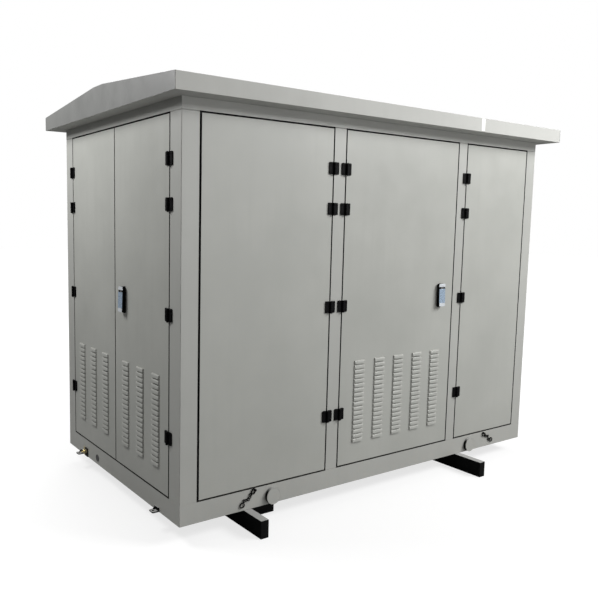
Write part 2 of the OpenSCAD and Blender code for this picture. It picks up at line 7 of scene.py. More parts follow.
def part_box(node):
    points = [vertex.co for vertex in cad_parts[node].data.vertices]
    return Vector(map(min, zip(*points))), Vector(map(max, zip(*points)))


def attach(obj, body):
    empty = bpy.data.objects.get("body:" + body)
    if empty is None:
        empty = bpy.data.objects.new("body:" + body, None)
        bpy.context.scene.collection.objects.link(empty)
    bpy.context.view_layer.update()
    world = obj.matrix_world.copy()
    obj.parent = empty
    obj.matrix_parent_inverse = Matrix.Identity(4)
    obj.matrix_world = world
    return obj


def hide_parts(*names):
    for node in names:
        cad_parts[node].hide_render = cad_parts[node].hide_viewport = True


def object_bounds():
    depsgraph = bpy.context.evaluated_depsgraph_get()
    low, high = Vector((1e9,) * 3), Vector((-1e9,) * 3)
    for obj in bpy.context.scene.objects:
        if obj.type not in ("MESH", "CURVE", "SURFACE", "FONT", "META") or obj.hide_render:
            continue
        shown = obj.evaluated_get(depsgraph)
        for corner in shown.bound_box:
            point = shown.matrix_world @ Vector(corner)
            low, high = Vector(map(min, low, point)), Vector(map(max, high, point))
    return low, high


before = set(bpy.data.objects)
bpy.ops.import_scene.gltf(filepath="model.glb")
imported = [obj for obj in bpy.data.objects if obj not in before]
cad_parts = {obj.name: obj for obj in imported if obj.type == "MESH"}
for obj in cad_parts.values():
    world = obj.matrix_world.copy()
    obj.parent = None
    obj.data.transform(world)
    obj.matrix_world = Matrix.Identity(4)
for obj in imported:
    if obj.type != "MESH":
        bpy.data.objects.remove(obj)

cad_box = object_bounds()
MM = 0.001
UP = Vector((0, 0, 1))
SMOOTH_ANGLE = 35
THROUGH = 0.1       # how far a cutter passes through what it cuts


# ---- workbench: selecting, shaping and finishing ------------------------------------------------

def clear_selection():
    """Leaves edit mode and deselects everything."""
    if bpy.context.object and bpy.context.object.mode != "OBJECT":
        bpy.ops.object.mode_set(mode="OBJECT")
    bpy.ops.object.select_all(action="DESELECT")


def take(piece):
    """Makes one piece the only one selected, and active."""
    clear_selection()
    piece.select_set(True)
    bpy.context.view_layer.objects.active = piece


def settle(piece):
    """Puts a piece's place, turn and scale into its mesh."""
    take(piece)
    bpy.ops.object.transform_apply(location=True, rotation=True, scale=True)
    return piece


def block(low, high):
    """A block between two corners."""
    clear_selection()
    middle = [(a + b) / 2 for a, b in zip(low, high)]
    size = [b - a for a, b in zip(low, high)]
    bpy.ops.mesh.primitive_cube_add(size=1, location=middle, scale=size)
    return settle(bpy.context.object)


def turned_bar(middle, radius, length, along, sides=32):
    """A round bar of a length along an axis, centred on a point."""
    clear_selection()
    turn = UP.rotation_difference(Vector(along)).to_euler()
    bpy.ops.mesh.primitive_cylinder_add(vertices=sides, radius=radius, depth=length,
                                        location=middle, rotation=turn)
    return settle(bpy.context.object)


def pick_faces(piece, wanted):
    """Selects in edit mode the faces whose middle and normal are wanted."""
    take(piece)
    bpy.ops.object.mode_set(mode="EDIT")
    bpy.ops.mesh.select_mode(type="FACE")
    bpy.ops.mesh.select_all(action="DESELECT")
    bpy.ops.object.mode_set(mode="OBJECT")
    for face in piece.data.polygons:
        face.select = wanted(face.center, face.normal)
    bpy.ops.object.mode_set(mode="EDIT")


def pick_edges(piece, wanted):
    """Selects in edit mode the edges whose two ends are wanted."""
    take(piece)
    bpy.ops.object.mode_set(mode="EDIT")
    bpy.ops.mesh.select_mode(type="EDGE")
    bpy.ops.mesh.select_all(action="DESELECT")
    bpy.ops.object.mode_set(mode="OBJECT")
    points = [v.co for v in piece.data.vertices]
    for edge in piece.data.edges:
        edge.select = wanted(points[edge.vertices[0]], points[edge.vertices[1]])
    bpy.ops.object.mode_set(mode="EDIT")


def leave_edit():
    bpy.ops.object.mode_set(mode="OBJECT")


def modify(piece, kind, **values):
    """Adds a modifier with its values and applies it."""
    take(piece)
    modifier = piece.modifiers.new(kind.lower(), kind)
    for name, value in values.items():
        setattr(modifier, name, value)
    bpy.ops.object.modifier_apply(modifier=modifier.name)
    return piece


def soften(piece, width, segments=2, angle=40):
    """Rounds the edges that are sharper than an angle."""
    return modify(piece, "BEVEL", width=width, segments=segments, limit_method="ANGLE",
                  angle_limit=math.radians(angle), use_clamp_overlap=True)


def join(pieces):
    if len(pieces) > 1:
        clear_selection()
        for piece in pieces:
            piece.select_set(True)
        bpy.context.view_layer.objects.active = pieces[0]
        bpy.ops.object.join()
    return pieces[0]


def cut(piece, cutters):
    """Cuts pieces out of a piece; the cutters are used up."""
    cutter = join(cutters)
    modify(piece, "BOOLEAN", operation="DIFFERENCE", object=cutter, solver="EXACT")
    bpy.data.objects.remove(cutter, do_unlink=True)
    return piece


def copy_to(piece, matrix):
    """A copy with its own mesh, moved by a matrix, its faces still outwards."""
    twin = piece.copy()
    twin.data = piece.data.copy()
    bpy.context.collection.objects.link(twin)
    twin.data.transform(matrix)
    if matrix.determinant() < 0:
        twin.data.flip_normals()
    return twin


def copies(piece, matrices):
    """One joined piece made of copies of a piece, which is used up."""
    made = [copy_to(piece, matrix) for matrix in matrices]
    bpy.data.objects.remove(piece, do_unlink=True)
    return join(made)


def shift(x, y, z):
    return Matrix.Translation((x, y, z))


def place(piece, name, body, material, nodes=()):
    """Shades, names and hands over a finished piece."""
    take(piece)
    bpy.ops.object.shade_smooth_by_angle(angle=math.radians(SMOOTH_ANGLE))
    modify(piece, "WEIGHTED_NORMAL", keep_sharp=True, weight=90)
    piece.name = name
    piece.data.materials.clear()
    piece.data.materials.append(material)
    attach(piece, body)
    if nodes:
        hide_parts(*nodes)
    return piece


# ---- finishes -----------------------------------------------------------------------------------

def new_group(name, inputs, outputs):
    """An empty shader group with its named sockets."""
    group = bpy.data.node_groups.new(name, "ShaderNodeTree")
    for label, kind, value in inputs:
        socket = group.interface.new_socket(name=label, in_out="INPUT", socket_type=kind)
        if value is not None:
            socket.default_value = value
    for label, kind in outputs:
        group.interface.new_socket(name=label, in_out="OUTPUT", socket_type=kind)
    return group, group.nodes.new("NodeGroupInput"), group.nodes.new("NodeGroupOutput")


def noise(tree, vector, scale, detail=3.0, roughness=0.55):
    """Cloudy noise from 0 to 1; the scale is a number or a socket."""
    node = tree.nodes.new("ShaderNodeTexNoise")
    node.inputs["Detail"].default_value = detail
    node.inputs["Roughness"].default_value = roughness
    tree.links.new(vector, node.inputs["Vector"])
    if isinstance(scale, (int, float)):
        node.inputs["Scale"].default_value = scale
    else:
        tree.links.new(scale, node.inputs["Scale"])
    return node.outputs["Fac"]


def stretched(tree, vector, scale):
    """A vector scaled differently along each axis."""
    node = tree.nodes.new("ShaderNodeMapping")
    node.inputs["Scale"].default_value = scale
    tree.links.new(vector, node.inputs["Vector"])
    return node.outputs["Vector"]


def spread(tree, value, low, high, to_low=0.0, to_high=1.0):
    """A value stretched from one range to another."""
    node = tree.nodes.new("ShaderNodeMapRange")
    for label, number in (("From Min", low), ("From Max", high), ("To Min", to_low), ("To Max", to_high)):
        if isinstance(number, (int, float)):
            node.inputs[label].default_value = number
        else:
            tree.links.new(number, node.inputs[label])
    tree.links.new(value, node.inputs["Value"])
    return node.outputs["Result"]


def math_node(tree, operation, *values):
    node = tree.nodes.new("ShaderNodeMath")
    node.operation = operation
    for socket, value in zip(node.inputs, values):
        if isinstance(value, (int, float)):
            socket.default_value = value
        else:
            tree.links.new(value, socket)
    return node.outputs["Value"]


def blend_colours(tree, factor, first, second):
    """A mix of two colours, each a socket or a fixed colour."""
    node = tree.nodes.new("ShaderNodeMix")
    node.data_type = "RGBA"
    tree.links.new(factor, node.inputs["Factor"])
    for value, socket in ((first, node.inputs[6]), (second, node.inputs[7])):
        if isinstance(value, tuple):
            socket.default_value = value
        else:
            tree.links.new(value, socket)
    return node.outputs[2]


def make_coat_group():
    """Sprayed paint: cloudy patches, rain streaks, dust at the foot, dust on ledges that is also a painted
    highlight on upward faces, orange peel.
    """
    colour, number = "NodeSocketColor", "NodeSocketFloat"
    group, given, out = new_group("sprayed_coat", [
        ("Vector", "NodeSocketVector", None), ("Paint", colour, (0.4, 0.4, 0.38, 1)),
        ("Shade", colour, (0.3, 0.3, 0.28, 1)), ("Dust", colour, (0.45, 0.42, 0.37, 1)),
        ("Streaks", number, 0.2), ("Foot Dust", number, 0.3), ("Ledge Dust", number, 0.2),
        ("Peel", number, 1.0), ("Gloss Low", number, 0.34), ("Gloss High", number, 0.5)],
        [("Color", colour), ("Roughness", number), ("Height", number)])
    vector = given.outputs["Vector"]
    clouds = spread(group, noise(group, vector, 1.6, 4), 0.34, 0.68)
    streak_noise = noise(group, stretched(group, vector, (14, 14, 0.9)), 1.0, 4, 0.6)
    streaks = math_node(group, "MULTIPLY", spread(group, streak_noise, 0.5, 0.72), given.outputs["Streaks"])
    patchy = blend_colours(group, clouds, given.outputs["Paint"], given.outputs["Shade"])
    streaked = blend_colours(group, streaks, patchy, given.outputs["Shade"])
    place_z = group.nodes.new("ShaderNodeSeparateXYZ")
    group.links.new(vector, place_z.inputs[0])
    foot = spread(group, place_z.outputs["Z"], 0.62, 0.1)
    speckle = spread(group, noise(group, vector, 26, 5, 0.7), 0.42, 0.66)
    foot_dust = math_node(group, "MULTIPLY", math_node(group, "MULTIPLY", foot, speckle),
                          given.outputs["Foot Dust"])
    facing = group.nodes.new("ShaderNodeNewGeometry")
    up = group.nodes.new("ShaderNodeSeparateXYZ")
    group.links.new(facing.outputs["Normal"], up.inputs[0])
    # upward faces take the dust colour: ledge dust, and on the black coat a painted highlight on the tops
    ledge = math_node(group, "MULTIPLY", spread(group, up.outputs["Z"], 0.55, 0.95),
                      given.outputs["Ledge Dust"])
    dust = math_node(group, "MINIMUM", math_node(group, "ADD", foot_dust, ledge), 1.0)
    dusty = blend_colours(group, dust, streaked, given.outputs["Dust"])
    gloss = spread(group, noise(group, vector, 7, 4), 0.3, 0.7, given.outputs["Gloss Low"],
                   given.outputs["Gloss High"])
    rough = math_node(group, "ADD", gloss, math_node(group, "MULTIPLY", dust, 0.25))
    peel = math_node(group, "MULTIPLY", noise(group, vector, 420, 2), given.outputs["Peel"])
    wave = math_node(group, "MULTIPLY", noise(group, vector, 2.2, 1), 6.0)
    group.links.new(dusty, out.inputs["Color"])
    group.links.new(rough, out.inputs["Roughness"])
    group.links.new(math_node(group, "ADD", peel, wave), out.inputs["Height"])
    return group


def make_metal_group():
    """Bare, plated or cast metal: tone variation, drawn or sandy grain, small stains."""
    colour, number = "NodeSocketColor", "NodeSocketFloat"
    group, given, out = new_group("metal_grain", [
        ("Vector", "NodeSocketVector", None), ("Metal", colour, (0.5, 0.5, 0.5, 1)),
        ("Stain", colour, (0.2, 0.2, 0.2, 1)), ("Grain Scale", number, 300.0),
        ("Stain Amount", number, 0.3), ("Gloss Low", number, 0.2), ("Gloss High", number, 0.4)],
        [("Color", colour), ("Roughness", number), ("Height", number)])
    vector = given.outputs["Vector"]
    stains = math_node(group, "MULTIPLY", spread(group, noise(group, vector, 34, 5, 0.65), 0.48, 0.7),
                       given.outputs["Stain Amount"])
    grain = noise(group, vector, given.outputs["Grain Scale"], 3, 0.6)
    rough = spread(group, noise(group, vector, 90, 4), 0.3, 0.7, given.outputs["Gloss Low"],
                   given.outputs["Gloss High"])
    group.links.new(blend_colours(group, stains, given.outputs["Metal"], given.outputs["Stain"]),
                    out.inputs["Color"])
    group.links.new(math_node(group, "ADD", rough, math_node(group, "MULTIPLY", stains, 0.2)),
                    out.inputs["Roughness"])
    group.links.new(grain, out.inputs["Height"])
    return group


COAT = make_coat_group()
GRAIN = make_metal_group()


def finish(name, group, values, metallic=0.0, bump=0.1, depth=0.0004, specular=0.5):
    """A material whose colour, gloss and relief come from one of the shared groups."""
    material = bpy.data.materials.new(name)
    material.use_nodes = True
    tree = material.node_tree
    shader = tree.nodes["Principled BSDF"]
    shader.inputs["Metallic"].default_value = metallic
    shader.inputs["Specular IOR Level"].default_value = specular
    node = tree.nodes.new("ShaderNodeGroup")
    node.node_tree = group
    for label, value in values.items():
        node.inputs[label].default_value = value
    where = tree.nodes.new("ShaderNodeTexCoord")
    relief = tree.nodes.new("ShaderNodeBump")
    relief.inputs["Strength"].default_value = bump
    relief.inputs["Distance"].default_value = depth
    tree.links.new(where.outputs["Object"], node.inputs["Vector"])
    tree.links.new(node.outputs["Color"], shader.inputs["Base Color"])
    tree.links.new(node.outputs["Roughness"], shader.inputs["Roughness"])
    tree.links.new(node.outputs["Height"], relief.inputs["Height"])
    tree.links.new(relief.outputs["Normal"], shader.inputs["Normal"])
    material.diffuse_color = (0.5, 0.5, 0.5, 1)
    return material


def coat(name, paint, shade, specular=0.5, **values):
    named = {label.replace("_", " ").title(): value for label, value in values.items()}
    return finish(name, COAT, {"Paint": (*paint, 1), "Shade": (*shade, 1), **named}, bump=0.16,
                  specular=specular)


def metal(name, colour, stain, metallic=1.0, bump=0.2, depth=0.0003, specular=0.5, **values):
    named = {label.replace("_", " ").title(): value for label, value in values.items()}
    return finish(name, GRAIN, {"Metal": (*colour, 1), "Stain": (*stain, 1), **named},
                  metallic=metallic, bump=bump, depth=depth, specular=specular)


WALL_PAINT = coat("wall_grey_coat", (0.42, 0.424, 0.40), (0.385, 0.388, 0.366), streaks=0.35,
                  foot_dust=0.22, ledge_dust=0.15)
DOOR_PAINT = coat("door_grey_coat", (0.415, 0.42, 0.392), (0.375, 0.381, 0.355), streaks=0.45,
                  foot_dust=0.18, ledge_dust=0.12)
ROOF_PAINT = coat("roof_grey_coat", (0.49, 0.492, 0.468), (0.44, 0.442, 0.42), streaks=0.3,
                  foot_dust=0.0, ledge_dust=0.3, gloss_low=0.62, gloss_high=0.78, specular=0.2)
# painted shade: the gable plates are coloured far darker than the roof so its ends look shaded
GABLE_PAINTED_SHADE_COAT = coat("gable_painted_shade_coat", (0.18, 0.182, 0.176), (0.155, 0.157, 0.152), streaks=0.35,
                   foot_dust=0.0, ledge_dust=0.3)
# painted highlight: the joint cover strip is real, and its near-white colour stands for the light caught
# along the fascia joint
JOINT_PAINTED_HIGHLIGHT = coat("joint_painted_highlight_coat", (0.86, 0.86, 0.85), (0.8, 0.8, 0.78), streaks=0.2,
                   foot_dust=0.0, ledge_dust=0.0)
# painted highlight: the strong ledge tint turns this black coat's upward faces light grey; black parts
# using this coat also stand in as painted shade
BLACK_PAINT_WITH_PAINTED_SHADE_AND_HIGHLIGHT = coat("black_steel_coat_with_painted_shade_and_highlight", (0.002, 0.002, 0.0025), (0.005, 0.005, 0.005), streaks=0.4,
                   dust=(0.5, 0.5, 0.49, 1), foot_dust=0.004, ledge_dust=0.85, gloss_low=0.55,
                   gloss_high=0.7, specular=0.1)
CAP_PLASTIC = coat("dark_grey_plastic", (0.07, 0.07, 0.075), (0.05, 0.05, 0.055), streaks=0.3,
                   foot_dust=0.1, ledge_dust=0.2, gloss_low=0.5, gloss_high=0.65)
TANK_PAINT = coat("tank_green_grey_coat", (0.15, 0.175, 0.165), (0.11, 0.13, 0.12), streaks=0.4,
                  foot_dust=0.3, ledge_dust=0.4)
CABINET_PAINT = coat("cabinet_light_coat", (0.56, 0.56, 0.53), (0.5, 0.5, 0.47), streaks=0.15,
                     foot_dust=0.1, ledge_dust=0.15)
SLEEVE_PAINT = coat("red_brown_sleeve", (0.26, 0.05, 0.03), (0.18, 0.03, 0.02), streaks=0.2,
                    foot_dust=0.0, ledge_dust=0.3, gloss_low=0.45, gloss_high=0.6)
GLAZE = coat("brown_glaze", (0.16, 0.05, 0.025), (0.1, 0.03, 0.015), streaks=0.2, foot_dust=0.0,
             ledge_dust=0.15, peel=0.2, gloss_low=0.12, gloss_high=0.22)
# Black rubber for the door seals, also used as painted shade: the black lining in the door gaps and the
# pads behind the earth studs
SEAL_RUBBER_AND_PAINTED_SHADE = coat("black_seal_rubber_and_painted_shade", (0.006, 0.006, 0.006), (0.012, 0.012, 0.012), streaks=0.3,
                   foot_dust=0.05, ledge_dust=0.1, gloss_low=0.7, gloss_high=0.85, specular=0.2)
# Black castings for hinges, chains and locks; on the locks the black base and grip sides are painted shade
# beside the standing lever
BLACK_CASTING_AND_PAINTED_SHADE = metal("black_casting", (0.0015, 0.0015, 0.002), (0.007, 0.0065, 0.006), metallic=0.0,
                bump=0.35, specular=0.09, grain_scale=520.0, stain_amount=0.3, gloss_low=0.52,
                gloss_high=0.68)
PIN_STEEL = metal("dark_pin_steel", (0.05, 0.05, 0.052), (0.08, 0.05, 0.03), grain_scale=600.0,
                  stain_amount=0.4, gloss_low=0.3, gloss_high=0.45)
# near-white plating for the lock head; on the grip's tip it is a painted highlight on the lower end of the
# same plated lever
BRIGHT_PLATING_AND_TIP_HIGHLIGHT = metal("bright_lock_plating_and_tip_highlight", (0.86, 0.90, 0.94), (0.62, 0.68, 0.75), metallic=0.35,
                     grain_scale=700.0, stain_amount=0.2, gloss_low=0.16, gloss_high=0.28, bump=0.06)
GRIP_PLATING = metal("pale_blue_lock_plating", (0.42, 0.53, 0.66), (0.32, 0.42, 0.54), metallic=0.4,
                     grain_scale=700.0, stain_amount=0.25, gloss_low=0.2, gloss_high=0.34, bump=0.06)
ZINC = metal("zinc_plated_steel", (0.5, 0.5, 0.48), (0.36, 0.34, 0.28), grain_scale=420.0,
             stain_amount=0.5, gloss_low=0.28, gloss_high=0.45)
BRASS = metal("earth_brass", (0.80, 0.70, 0.42), (0.42, 0.36, 0.2), grain_scale=500.0,
              stain_amount=0.6, gloss_low=0.25, gloss_high=0.42)
COPPER = metal("busbar_copper", (0.72, 0.32, 0.16), (0.35, 0.16, 0.09), grain_scale=380.0,
               stain_amount=0.5, gloss_low=0.25, gloss_high=0.4)


def dress(material, *nodes):
    """Gives a carried-over part its finish."""
    for node in nodes:
        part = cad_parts[node]
        part.data.materials.clear()
        part.data.materials.append(material)


# ---- the enclosure's places ---------------------------------------------------------------------

base_low, base_high = (Vector(p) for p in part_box("base_rails"))
post_low, post_high = (Vector(p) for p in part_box("corner_posts"))
header_low, header_high = (Vector(p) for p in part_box("header_band"))
roof_low, roof_high = (Vector(p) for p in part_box("roof_shell"))
ENCLOSURE = "enclosure"
WALL = 5 * MM
BASE_DEPTH, HEADER_DEPTH = 65 * MM, 70 * MM
SHAFT_HOLE = 29 * MM
POST_LEFT, POST_RIGHT, POST_SIDE = 113 * MM, 106 * MM, 127 * MM
MULLION_DEPTH = 70 * MM
GAP, WIDE_GAP = 6 * MM, 10 * MM
JOINT_LINE = 1.6 * MM       # left open between the posts and the header
FASCIA, RIDGE_WIDTH, EAVES = 93 * MM, 140 * MM, 212 * MM


def ring_frame(low, high, depth, wall):
    """A four-sided frame of channel, open towards the middle."""
    inset = Vector((depth, depth, 0))
    over = Vector((0, 0, THROUGH))
    ring = cut(block(low, high), [block(low + inset - over, high - inset + over)])
    thick = Vector((wall, wall, wall))
    margin = inset - Vector((wall, wall, 0))
    hollow = cut(block(low + thick, high - thick), [block(low + margin - over, high - margin + over)])
    return cut(ring, [hollow])


def trunnion_places():
    """Each lifting trunnion's name and box."""
    for name in ("front_left", "front_right", "rear_left", "rear_right"):
        low, high = (Vector(p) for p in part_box("trunnion_" + name))
        yield name, low, high


def make_base():
    """The channel frame at the foot, with a hole for each trunnion."""
    base = ring_frame(base_low, base_high, BASE_DEPTH, WALL)
    holes = []
    for name, low, high in trunnion_places():
        middle = (low + high) / 2
        middle.y = math.copysign(base_high.y, low.y)
        holes.append(turned_bar(middle, SHAFT_HOLE, THROUGH, (0, 1, 0)))
    soften(cut(base, holes), 2.5 * MM, 3)
    place(base, "base_frame", ENCLOSURE, WALL_PAINT, ["base_rails"])


def make_header():
    """The band of channel over the doors."""
    band = soften(ring_frame(header_low, header_high, HEADER_DEPTH, WALL), 1.5 * MM, 2)
    place(band, "header_channel", ENCLOSURE, WALL_PAINT, ["header_band"])


def make_posts():
    """Corner posts and the mullions between the bays, square tubes with rounded edges."""
    top = post_high.z - JOINT_LINE
    tubes = []
    for sy in (-1, 1):
        near, far = sorted((sy * post_high.y, sy * (post_high.y - POST_SIDE)))
        tubes.append((post_low.x, near, post_low.x + POST_LEFT, far))
        tubes.append((post_high.x - POST_RIGHT, near, post_high.x, far))
    corner = []
    for x0, y0, x1, y1 in tubes:
        tube = block((x0, y0, post_low.z), (x1, y1, top))
        pick_edges(tube, lambda a, b: abs(a.z - b.z) > 0.5)
        bpy.ops.mesh.bevel(offset=4 * MM, segments=4)
        leave_edit()
        inner = block((x0 + WALL, y0 + WALL, post_low.z - THROUGH),
                      (x1 - WALL, y1 - WALL, post_high.z + THROUGH))
        corner.append(soften(cut(tube, [inner]), 0.8 * MM, 2, 60))
    place(join(corner), "corner_post_tubes", ENCLOSURE, WALL_PAINT, ["corner_posts"])
    doors = [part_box("front_door_" + name) for name in ("left", "middle", "right")]
    bays = [(doors[0][1][0] + GAP, doors[1][0][0] - GAP), (doors[1][1][0] + GAP, doors[2][0][0] - GAP)]
    upright = []
    for x0, x1 in bays:
        for sy in (-1, 1):
            near, far = sorted((sy * post_high.y, sy * (post_high.y - MULLION_DEPTH)))
            tube = block((x0, near, post_low.z), (x1, far, top))
            inner = block((x0 + WALL, near + WALL, post_low.z - THROUGH),
                          (x1 - WALL, far - WALL, post_high.z + THROUGH))
            upright.append(soften(cut(tube, [inner]), 2 * MM, 3))
    place(join(upright), "mullion_tubes", ENCLOSURE, WALL_PAINT, ["mullions"])


def gable_block(x0, x1):
    """A length of roof: the fascia's height pulled up to a flat ridge."""
    fascia_top = roof_low.z + FASCIA
    ridge = RIDGE_WIDTH / (roof_high.y - roof_low.y)
    roof = block((x0, roof_low.y, roof_low.z), (x1, roof_high.y, fascia_top))
    pick_faces(roof, lambda c, n: n.z > 0.5)
    bpy.ops.mesh.extrude_region_move(TRANSFORM_OT_translate={"value": (0, 0, roof_high.z - fascia_top)})
    bpy.ops.transform.resize(value=(1, ridge, 1), center_override=(0, 0, roof_high.z))
    leave_edit()
    return roof


def make_roof():
    """The roof sheet with its eaves turned in below, a plate on each gable in a darker grey that is painted
    shade, and a cover on the joint whose near-white is a painted highlight.
    """
    plate = 1.6 * MM
    roof = gable_block(roof_low.x + plate, roof_high.x - plate)
    pick_faces(roof, lambda c, n: n.z < -0.9)
    bpy.ops.mesh.inset(thickness=EAVES)
    bpy.ops.mesh.delete(type="FACE")
    leave_edit()
    soften(roof, 2 * MM, 2, 3)
    modify(roof, "SOLIDIFY", thickness=3 * MM, offset=-1)
    place(roof, "gabled_roof", ENCLOSURE, ROOF_PAINT, ["roof_shell"])
    plates = []
    for x0, x1 in ((roof_low.x, roof_low.x + plate), (roof_high.x - plate, roof_high.x)):
        plates.append(soften(gable_block(x0, x1), 0.6 * MM, 2, 60))
    # painted shade on the gable plates
    place(join(plates), "gable_plates_painted_shade", ENCLOSURE, GABLE_PAINTED_SHADE_COAT)
    low, high = (Vector(p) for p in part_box("roof_joint_strip"))
    strip = block(low, high)
    pick_edges(strip, lambda a, b: a.y < low.y + 1e-5 and b.y < low.y + 1e-5)
    bpy.ops.mesh.bevel(offset=1.2 * MM, segments=3)
    leave_edit()
    # the cover strip carries the painted highlight
    place(strip, "fascia_joint_cover_painted_highlight", ENCLOSURE, JOINT_PAINTED_HIGHLIGHT, ["roof_joint_strip"])


# ---- doors and panels ---------------------------------------------------------------------------

SHEET = 2 * MM
DOOR_DEPTH = 40 * MM
LIP = 18 * MM
HOOD_W, HOOD_H, HOOD_OUT = 94 * MM, 23 * MM, 11 * MM
LOUVRE_Z, LOUVRE_PITCH, LOUVRE_ROWS = 385 * MM, 31 * MM, 18
WIDE_LOUVRES = [168, 351, 532, 717, 903]
END_LOUVRES = [159, 367, 575]
HINGE_HEIGHTS = [595, 1301, 1914, 2162]
STIFFENER_HEIGHTS, STIFFENER_WIDE = (1.08, 1.72), 60 * MM
GUIDE_HEIGHTS = (1.0, 1.7)
LOCK_INSET, LOCK_HEIGHT = 140 * MM, 1.38
# the black trim laps over the faces so the gap lines read darker and wider: painted shade
TRIM, TRIM_LAP, TRIM_PROUD = 0.7 * MM, 2 * MM, 0.4 * MM
DOORS = [
    ("front_door_left", "hinges_front_left", (0, -1, 0), [], None),
    ("front_door_middle", "hinges_front_middle", (0, -1, 0), WIDE_LOUVRES, "front"),
    ("front_door_right", "hinges_front_right", (0, -1, 0), [], None),
    ("left_end_door_near", "hinges_left_end_near", (-1, 0, 0), END_LOUVRES, "left"),
    ("left_end_door_far", "hinges_left_end_far", (-1, 0, 0), END_LOUVRES, None),
    ("right_end_door_near", "hinges_right_end_near", (1, 0, 0), END_LOUVRES, "right"),
    ("right_end_door_far", "hinges_right_end_far", (1, 0, 0), END_LOUVRES, None)]


def leaf_space(node, hinges, out):
    """Where a leaf stands: x runs from its hinge edge, y into the enclosure, z up from the ground."""
    low, high = (Vector(p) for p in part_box(node))
    hinge_low, hinge_high = (Vector(p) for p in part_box(hinges))
    out = Vector(out)
    across = Vector((abs(out.y), abs(out.x), 0))
    from_low = (hinge_low + hinge_high).dot(across) < (low + high).dot(across)
    along = across if from_low else -across
    edge = low.dot(across) if from_low else high.dot(across)
    face = post_high.x if abs(out.x) > 0 else post_high.y
    origin = across * edge + out * face
    space = Matrix(((along.x, -out.x, 0, origin.x), (along.y, -out.y, 0, origin.y),
                    (0, 0, 1, 0), (0, 0, 0, 1)))
    return space, (high - low).dot(across), low.z, high.z


def louvre_hood():
    """One pressed hood, open below, its shoulders rounded."""
    hood = block((-HOOD_W / 2, -HOOD_OUT, 0), (HOOD_W / 2, 0.6 * MM, HOOD_H))
    front = -HOOD_OUT + 0.1 * MM
    pick_edges(hood, lambda a, b: a.y < front and b.y < front and a.z + b.z > 1 * MM)
    bpy.ops.mesh.bevel(offset=10 * MM, segments=3)
    leave_edit()
    pick_faces(hood, lambda c, n: n.z < -0.9 or n.y > 0.9)
    bpy.ops.mesh.delete(type="FACE")
    leave_edit()
    return modify(hood, "SOLIDIFY", thickness=1.4 * MM, offset=-1)


def louvre_places(columns):
    """Where the hoods go in each column, from the lowest row up."""
    return [shift(x * MM, 0, LOUVRE_Z + row * LOUVRE_PITCH) for x in columns for row in range(LOUVRE_ROWS)]


def folded_leaf(width, z0, z1, columns, lock_x):
    """A door pan: rounded front edges, folded sides, a return lip, louvres and two stiffeners."""
    leaf = block((0, 0, z0), (width, DOOR_DEPTH, z1))
    pick_edges(leaf, lambda a, b: a.y < 1e-6 and b.y < 1e-6)
    bpy.ops.mesh.bevel(offset=1.5 * MM, segments=3)
    leave_edit()
    pick_faces(leaf, lambda c, n: n.y > 0.9)
    bpy.ops.mesh.inset(thickness=LIP)
    bpy.ops.mesh.delete(type="FACE")
    leave_edit()
    modify(leaf, "SOLIDIFY", thickness=SHEET, offset=-1)
    cutters = []
    if columns:
        slot = block((-HOOD_W / 2 + 3 * MM, -SHEET, 1 * MM), (HOOD_W / 2 - 3 * MM, 2 * SHEET, 17 * MM))
        cutters.append(copies(slot, louvre_places(columns)))
    if lock_x:
        cutters.append(turned_bar((lock_x, 0, LOCK_HEIGHT), 12 * MM, 0.02, (0, 1, 0)))
    if cutters:
        cut(leaf, cutters)
    parts = [leaf]
    if columns:
        parts.append(copies(louvre_hood(), louvre_places(columns)))
    rib_end = lock_x - 60 * MM if lock_x else width - 25 * MM
    for z in STIFFENER_HEIGHTS:
        rib = block((25 * MM, SHEET, z), (rib_end, 24 * MM, z + STIFFENER_WIDE))
        parts.append(soften(rib, 3 * MM, 2))
    return join(parts)


def make_leaves():
    """The seven hinged leaves."""
    for node, hinges, out, columns, lock in DOORS:
        space, width, z0, z1 = leaf_space(node, hinges, out)
        lock_x = width - LOCK_INSET if lock else None
        leaf = folded_leaf(width, z0, z1, columns, lock_x)
        leaf = copies(leaf, [space])
        place(leaf, node + "_pan", node, DOOR_PAINT, [node])


def gap_shade_ring(low, high, out, thick, start, finish):
    """A thin black ring round an opening or a leaf, between two depths behind the face: painted shade for
    the gap.
    """
    out = Vector(out)
    deep = -out
    across = Vector((abs(out.y), abs(out.x), 1))
    face = post_high.x if abs(out.x) > 0 else post_high.y
    near = [a * c for a, c in zip(low, across)]
    far = [a * c for a, c in zip(high, across)]
    ends = [out * face + deep * start, out * face + deep * finish]
    corner_a = Vector(near) + ends[0]
    corner_b = Vector(far) + ends[1]
    outer_low = [min(a, b) for a, b in zip(corner_a, corner_b)]
    outer_high = [max(a, b) for a, b in zip(corner_a, corner_b)]
    inward = across * thick - Vector((abs(out.x), abs(out.y), 0)) * THROUGH
    ring = block(outer_low, outer_high)
    return cut(ring, [block(Vector(outer_low) + inward, Vector(outer_high) - inward)])


